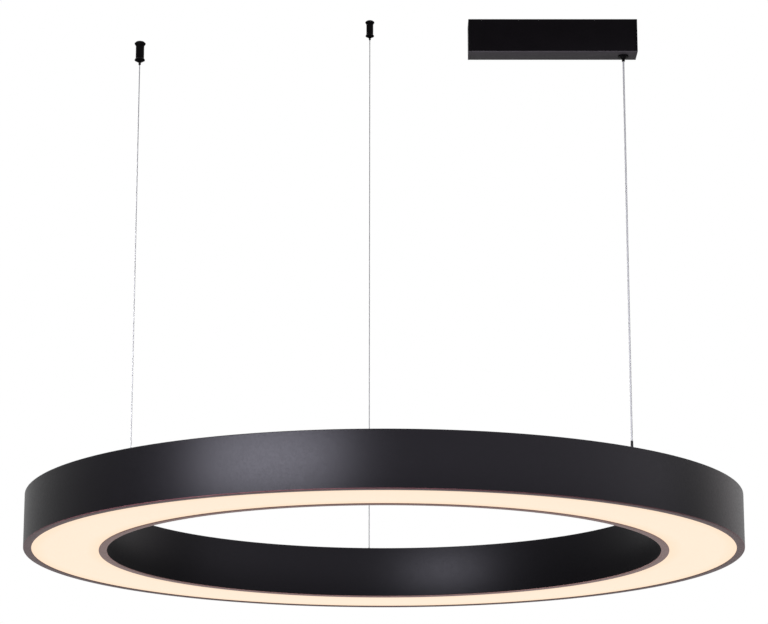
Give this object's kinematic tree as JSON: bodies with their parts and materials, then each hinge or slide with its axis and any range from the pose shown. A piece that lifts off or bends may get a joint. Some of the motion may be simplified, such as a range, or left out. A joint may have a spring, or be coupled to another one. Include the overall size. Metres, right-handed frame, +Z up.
{
  "type": "ring pendant light",
  "caption": "Round LED ring pendant light with an opal lit underside, hung on slim wires with self-locking ceiling grips and a feed cable from a flat rectangular canopy.",
  "frame": {"origin": "middle of the canopy bracket's upper face, where it lies on the ceiling", "axes": "+Z up, +X along the canopy towards the end with the feed cable, +Y from the viewer's side of the picture to the far side of the ring"},
  "size_m": [0.8, 0.8, 0.763],
  "materials": {
    "ring_coat": "black satin powder coat",
    "canopy_coat": "black satin powder coat",
    "fitting_coat": "black satin coat on turned steel",
    "black_screw": "black oxide",
    "opal": "opal, lit from inside",
    "board": "white solder mask on an aluminium core",
    "connector": "natural nylon",
    "wire": "bare stranded steel",
    "cable": "clear jacket over a braid",
    "sleeve": "black rubber",
    "zinc": "zinc plated",
    "ferrule": "bare",
    "brass": "bare",
    "bright_steel": "bright",
    "driver_case": "white moulded case",
    "lead": "insulated copper"
  },
  "bodies": {
    "canopy": {"ceiling_bracket": "zinc", "canopy_channel": "canopy_coat", "end_cap_left": "canopy_coat", "end_cap_right": "canopy_coat", "canopy_screws": "black_screw", "led_driver": "driver_case", "driver_screws": "zinc", "mains_terminal": "connector", "mains_leads": "lead", "output_leads": "lead", "earth_screw": "brass", "cable_grip_body": "fitting_coat", "cable_grip_nut": "zinc", "cable_grip_seat": "bright_steel", "cable_grip_spring": "bright_steel"},
    "canopy_plunger": {"cable_grip_plunger": "fitting_coat", "cable_grip_balls": "bright_steel"},
    "ring": {"outer_rim": "ring_coat", "inner_rim": "ring_coat", "top_plate": "ring_coat", "diffuser": "opal", "rim_screws": "black_screw", "board_links": "connector", "led_board_1": "board", "led_board_2": "board", "led_board_3": "board", "led_board_4": "board", "led_board_5": "board", "led_board_6": "board", "led_board_7": "board", "led_board_8": "board", "hanger_boss_left": "fitting_coat", "hanger_nut_left": "zinc", "wire_stop_left": "ferrule", "left_wire": "wire", "hanger_boss_far": "fitting_coat", "hanger_nut_far": "zinc", "wire_stop_far": "ferrule", "far_wire": "wire", "feed_gland": "fitting_coat", "feed_gland_nut": "zinc", "feed_sleeve": "sleeve", "feed_stop": "ferrule", "feed_cable": "cable", "feed_connector": "connector", "feed_leads": "lead"},
    "left_anchor": {"left_anchor_base": "fitting_coat", "left_anchor_barrel": "fitting_coat", "left_anchor_seat": "bright_steel", "left_anchor_spring": "bright_steel"},
    "left_plunger": {"left_anchor_plunger": "fitting_coat", "left_anchor_balls": "bright_steel"},
    "far_anchor": {"far_anchor_base": "fitting_coat", "far_anchor_barrel": "fitting_coat", "far_anchor_seat": "bright_steel", "far_anchor_spring": "bright_steel"},
    "far_plunger": {"far_anchor_plunger": "fitting_coat", "far_anchor_balls": "bright_steel"}
  },
  "joints": [
    {"name": "ring_height", "type": "slide", "parent": "canopy", "child": "ring", "axis": [0, 0, -1], "range_m": [-0.3, 0], "deforming": ["feed_cable"]},
    {"name": "left_anchor_slide", "type": "slide", "parent": "ring", "child": "left_anchor", "axis": [0, 0, 1], "range_m": [-0.281, 0], "deforming": ["left_wire"]},
    {"name": "far_anchor_slide", "type": "slide", "parent": "ring", "child": "far_anchor", "axis": [0, 0, 1], "range_m": [-0.523, 0], "deforming": ["far_wire"]},
    {"name": "canopy_plunger_press", "type": "slide", "parent": "canopy", "child": "canopy_plunger", "axis": [0, 0, 1], "range_m": [0, 0.0012], "stiffness_N_per_m": 600, "springref_m": -0.001, "deforming": ["cable_grip_spring"]},
    {"name": "left_plunger_press", "type": "slide", "parent": "left_anchor", "child": "left_plunger", "axis": [0, 0, 1], "range_m": [0, 0.0012], "stiffness_N_per_m": 600, "springref_m": -0.001, "deforming": ["left_anchor_spring"]},
    {"name": "far_plunger_press", "type": "slide", "parent": "far_anchor", "child": "far_plunger", "axis": [0, 0, 1], "range_m": [0, 0.0012], "stiffness_N_per_m": 600, "springref_m": -0.001, "deforming": ["far_anchor_spring"]}
  ]
}
